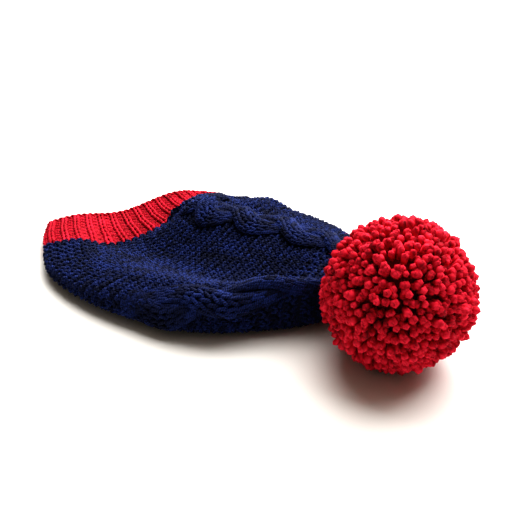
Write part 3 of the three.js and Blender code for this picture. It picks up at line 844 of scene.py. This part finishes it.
def pompom():
    """Cut ends of yarn that stand on the pompom's middle: each runs outwards from 0.6 to about 1
    radius, leans a little as the square of its run, swells from 1.4 to 2.8 mm in radius where its
    plies open, and ends round. The trimming is uneven by up to 1.6 mm, as a sine of one direction
    times a sine of another."""
    way = unit(even_directions(TUFTS) + seeded.normal(0, TUFT_STRAY, (TUFTS, 3)))
    lean = np.cross(way, unit(seeded.normal(0, 1, (TUFTS, 3))))
    lean = lean * seeded.uniform(0, TUFT_LEAN, (TUFTS, 1))
    reach = POMPOM_RADIUS - seeded.uniform(0, TRIM_SHORT, TUFTS)
    reach = reach + TRIM_SPREAD * seeded.normal(0, 1, TUFTS)
    wave = np.sin(way @ TRIM_ONE_WAY + 1) * np.sin(way @ TRIM_OTHER_WAY + 2)
    reach = reach + TRIM_WAVE * wave
    heights = mix(TUFT_FROM * POMPOM_RADIUS, reach[:, None], TUFT_PLACES)
    points = POMPOM_CENTRE + way[:, None, :] * heights[..., None] + (
        lean[:, None, :] * (heights * TUFT_PLACES**2)[..., None])
    radius = TUFT_RADII * seeded.uniform(*TUFT_THICKNESS, (TUFTS, 1))
    points[..., 2] = np.maximum(points[..., 2], radius + TUFT_LOWEST)
    sideways = unit(np.cross(way, np.array([0.3, 0.5, 0.8])))
    normals = np.repeat(sideways[:, None, :], len(TUFT_PLACES), axis=1)
    return yarn_tubes(points, normals, radius, seeded.random(TUFTS))


def pompom_middle():
    """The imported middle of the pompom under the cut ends, a closed ball of 0.82 of its radius:
    radius * (sin down * cos turn, sin down * sin turn, cos down), with a point at each pole."""
    rings, around = MIDDLE_RINGS, MIDDLE_ROUND
    down = np.pi * np.arange(1, rings) / rings
    turn = TURN * np.arange(around) / around
    way = np.stack([np.sin(down)[:, None] * np.cos(turn), np.sin(down)[:, None] * np.sin(turn),
                    np.repeat(np.cos(down)[:, None], around, axis=1)], axis=-1).reshape(-1, 3)
    way = np.concatenate([way, [[0, 0, 1], [0, 0, -1]]])
    i, j = np.meshgrid(np.arange(rings - 2), np.arange(around), indexing="ij")
    k = (j + 1) % around
    quads = np.stack([i * around + j, (i + 1) * around + j,
                      (i + 1) * around + k, i * around + k], axis=-1)
    j, top, last = np.arange(around), len(way) - 2, (rings - 2) * around
    k = (j + 1) % around
    caps = np.concatenate([np.stack([j, k, np.full_like(j, top)], axis=-1),
                           np.stack([last + k, last + j, np.full_like(j, top + 1)], axis=-1)])
    return {
        "points": POMPOM_CENTRE + MIDDLE_SHARE * POMPOM_RADIUS * way,
        "quads": quads.reshape(-1, 4), "triangles": caps,
        "along": np.zeros(len(way)), "around": np.zeros(len(way)),
        "shade": np.full(len(way), MIDDLE_PAINTED_SHADE),
    }


ends = pompom()
make("pompom_ends", join(ends, pompom_middle()), pompom_wool, "pompom")
make("pompom_fibres", loose_fibres(ends, *POMPOM_FIBRES), pompom_wool, "pompom")

TIE_BEFORE, TIE_IN_POMPOM = 4, 12  # how far the tie runs inside the crown and inside the pompom
TIE_PITCH = 9
TIE_SWING = 1.35  # from the tie's middle to each strand's middle
TIE_YARN = 1.45
TIE_POINTS = 40
TIE_SHADES = np.array([0.3, 0.7])


def tie_yarn():
    """Two strands of yarn that twist round each other once in 9 mm, from the gathered end into the
    pompom, within the tie's 3 mm radius: swing * (cos of the turn aside, sin above)."""
    axis = unit(POMPOM_CENTRE - HOLE_CENTRE)
    aside = unit(np.cross(axis, [0, 0, 1]))
    above = np.cross(aside, axis)
    reach = np.linalg.norm(POMPOM_CENTRE - HOLE_CENTRE) - POMPOM_RADIUS + TIE_IN_POMPOM
    run = np.linspace(-TIE_BEFORE, reach, TIE_POINTS)[None, :]
    turn = TURN * run / TIE_PITCH + np.array([[0], [math.pi]])
    run = np.broadcast_to(run, turn.shape)
    points = HOLE_CENTRE + axis * run[..., None] + TIE_SWING * (
        aside * np.cos(turn)[..., None] + above * np.sin(turn)[..., None])
    normals = np.broadcast_to(above, points.shape)
    return yarn_tubes(points, normals, np.full(turn.shape, TIE_YARN), TIE_SHADES, sides=8)


make("tie_yarn", tie_yarn(), pompom_wool, "pompom_tie")

for thing, node in pieces:
    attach(thing, "root")
    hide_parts(node)

# ---------------------------------------------------------------- floor, light, camera
FLOOR_HALF = 4  # metres
corners = [(-FLOOR_HALF, -FLOOR_HALF, 0), (FLOOR_HALF, -FLOOR_HALF, 0),
           (FLOOR_HALF, FLOOR_HALF, 0), (-FLOOR_HALF, FLOOR_HALF, 0)]
floor_mesh = bpy.data.meshes.new("floor")
floor_mesh.from_pydata(corners, [], [(0, 1, 2, 3)])
floor_mesh.materials.append(paper)
floor = bpy.data.objects.new("floor", floor_mesh)
bpy.context.collection.objects.link(floor)


def area_light(name, place, size, power, colour):
    """A square soft light, its side in metres and its power in watts, turned to the origin,
    which lies under the hat."""
    data = bpy.data.lights.new(name, "AREA")
    data.shape, data.size = "SQUARE", size
    data.energy, data.color = power, linear(colour)[:3]
    light = bpy.data.objects.new(name, data)
    light.location = place
    light.rotation_euler = (-Vector(place)).to_track_quat("-Z", "Y").to_euler()
    bpy.context.collection.objects.link(light)


# A wide window behind the hat gives the light, and a faint lamp overhead fills it.
area_light("window", (-0.35, 1.35, 1.8), 3.0, 165, "#ffffff")
area_light("overhead", (0.3, 0.4, 1.6), 1.6, 3, "#fffaf2")

world = bpy.data.worlds.new("studio")
world.use_nodes = True
background = world.node_tree.nodes["Background"].inputs
background["Color"].default_value = linear("#fff1de")
background["Strength"].default_value = 0.18
bpy.context.scene.world = world
bpy.context.scene.view_settings.view_transform = "Standard"
bpy.context.scene.view_settings.look = "High Contrast"

AZIMUTH, ELEVATION = math.radians(43), math.radians(30)  # of the line of sight, which looks down
lens = bpy.data.cameras.new("camera")
lens.angle = math.radians(42)
lens.clip_start = 0.01
camera = bpy.data.objects.new("camera", lens)
camera.location = (0.3333, -0.332, 0.2914)
look = Vector((-math.sin(AZIMUTH) * math.cos(ELEVATION), math.cos(AZIMUTH) * math.cos(ELEVATION),
               -math.sin(ELEVATION)))
camera.rotation_euler = look.to_track_quat("-Z", "Y").to_euler()
bpy.context.collection.objects.link(camera)
bpy.context.scene.camera = camera
